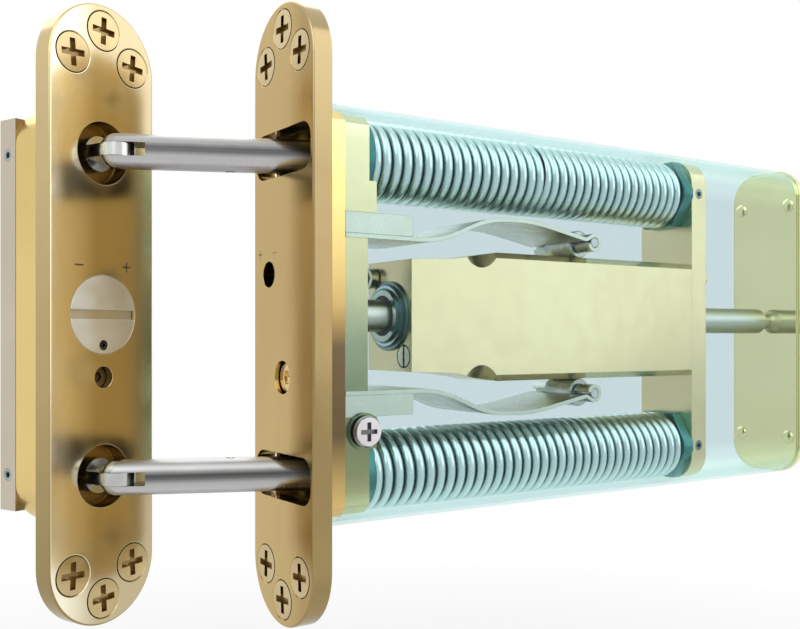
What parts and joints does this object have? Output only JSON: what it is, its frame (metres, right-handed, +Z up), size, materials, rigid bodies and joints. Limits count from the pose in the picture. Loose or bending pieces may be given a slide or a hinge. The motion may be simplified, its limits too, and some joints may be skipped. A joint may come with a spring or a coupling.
{
  "type": "concealed door closer",
  "caption": "Concealed door closer in a clear case: a sprung crosshead and damper draw the arms that link a round-ended door plate to a matching frame plate.",
  "frame": {"origin": "centre of the door plate's front face", "axes": "+X into the door along the body, +Y towards the side the arms swing to, +Z up"},
  "size_m": [0.3145, 0.0877, 0.194],
  "materials": {
    "satin_brass": "satin",
    "bright_brass": "polished",
    "satin_nickel": "satin",
    "clear_plastic": "clear",
    "spring_steel": "polished",
    "leaf_steel": "satin",
    "bright_steel": "polished",
    "screw_steel": "satin",
    "black_steel": "blackened",
    "seal_rubber": "matte"
  },
  "bodies": {
    "case": {"door_plate": "satin_brass", "door_plate_screws": "bright_brass", "plate_fixing_screw": "bright_brass", "front_block": "bright_brass", "case_sleeve": "clear_plastic", "case_fixing_screw": "screw_steel", "end_plate": "bright_brass", "end_plate_rivets": "bright_brass", "piston_rod": "bright_steel", "piston": "bright_brass", "piston_ring": "seal_rubber", "spring_seat_washers": "black_steel", "upper_leaf": "leaf_steel", "lower_leaf": "leaf_steel", "upper_leaf_clamp": "leaf_steel", "lower_leaf_clamp": "leaf_steel", "leaf_clamp_screws": "screw_steel", "upper_roller_pin": "bright_steel", "lower_roller_pin": "bright_steel", "upper_springs": "spring_steel", "lower_spring": "spring_steel"},
    "upper_roller": {"upper_roller": "bright_steel"},
    "lower_roller": {"lower_roller": "bright_steel"},
    "crosshead": {"crosshead": "bright_brass", "crosshead_grub_screws": "screw_steel", "damper_body": "bright_brass", "front_gland": "bright_steel", "front_rod_seal": "seal_rubber", "rear_rod_seal": "seal_rubber", "fill_plug": "bright_brass", "relief_plug": "bright_brass", "body_screws": "screw_steel", "spring_retainers": "black_steel", "upper_pull_rod": "bright_steel", "lower_pull_rod": "bright_steel", "upper_link_pin": "bright_steel", "lower_link_pin": "bright_steel"},
    "speed_valve": {"speed_valve": "bright_steel"},
    "upper_arm": {"upper_arm": "bright_steel", "upper_fork_pin": "bright_steel"},
    "lower_arm": {"lower_arm": "bright_steel", "lower_fork_pin": "bright_steel"},
    "anchor_bar": {"anchor_bar": "satin_nickel", "upper_knuckle": "bright_steel", "lower_knuckle": "bright_steel", "bar_grub_screws": "screw_steel"},
    "anchor_plate": {"anchor_plate": "satin_brass", "anchor_plate_screws": "bright_brass", "anchor_block": "bright_brass", "anchor_block_screw": "bright_brass"},
    "latch_adjuster": {"latch_adjuster": "screw_steel", "adjuster_lock_screw": "screw_steel"}
  },
  "joints": [
    {"name": "crosshead_slide", "type": "slide", "parent": "case", "child": "crosshead", "axis": [1, 0, 0], "range_m": [-0.013, 0.0521], "deforming": ["upper_springs", "lower_spring"]},
    {"name": "upper_roller_turn", "type": "hinge", "parent": "case", "child": "upper_roller", "pos_m": [0.1199, 0, 0.0276], "axis": [0, 1, 0], "range_deg": [-586, 147]},
    {"name": "lower_roller_turn", "type": "hinge", "parent": "case", "child": "lower_roller", "pos_m": [0.1199, 0, -0.0276], "axis": [0, 1, 0], "range_deg": [-147, 586]},
    {"name": "speed_valve_turn", "type": "hinge", "parent": "crosshead", "child": "speed_valve", "pos_m": [0.0398, 0.0094, 0.0129], "axis": [1, 0, 0], "range_deg": [-180, 180]},
    {"name": "upper_arm_swing", "type": "hinge", "parent": "crosshead", "child": "upper_arm", "pos_m": [0.0195, 0, 0.0505], "axis": [0, 0, 1], "range_deg": [-5.8, 23.22]},
    {"name": "lower_arm_swing", "type": "hinge", "parent": "crosshead", "child": "lower_arm", "pos_m": [0.0195, 0, -0.0505], "axis": [0, 0, 1], "range_deg": [-5.8, 23.22]},
    {"name": "anchor_swing", "type": "hinge", "parent": "upper_arm", "child": "anchor_bar", "pos_m": [-0.04309, 0.02683, 0.0505], "axis": [0, 0, 1], "range_deg": [-11.2, 44.72]},
    {"name": "latch_slide", "type": "slide", "parent": "anchor_bar", "child": "anchor_plate", "axis": [0.3762, -0.9265, 0], "range_m": [0, 0.0025]},
    {"name": "latch_adjuster_turn", "type": "hinge", "parent": "anchor_plate", "child": "latch_adjuster", "pos_m": [-0.04554, 0.03285, 0], "axis": [0.3762, -0.9265, 0], "range_deg": [0, 722]}
  ],
  "couplings": [
    {"joint": "upper_roller_turn", "follows": "crosshead_slide", "rad_per_m": -196.08},
    {"joint": "lower_roller_turn", "follows": "crosshead_slide", "rad_per_m": 196.08},
    {"joint": "upper_arm_swing", "follows": "crosshead_slide", "rad_per_m": 7.7719},
    {"joint": "lower_arm_swing", "follows": "crosshead_slide", "rad_per_m": 7.7719},
    {"joint": "anchor_swing", "follows": "crosshead_slide", "rad_per_m": 14.974},
    {"joint": "latch_adjuster_turn", "follows": "latch_slide", "rad_per_m": 5026.5}
  ]
}
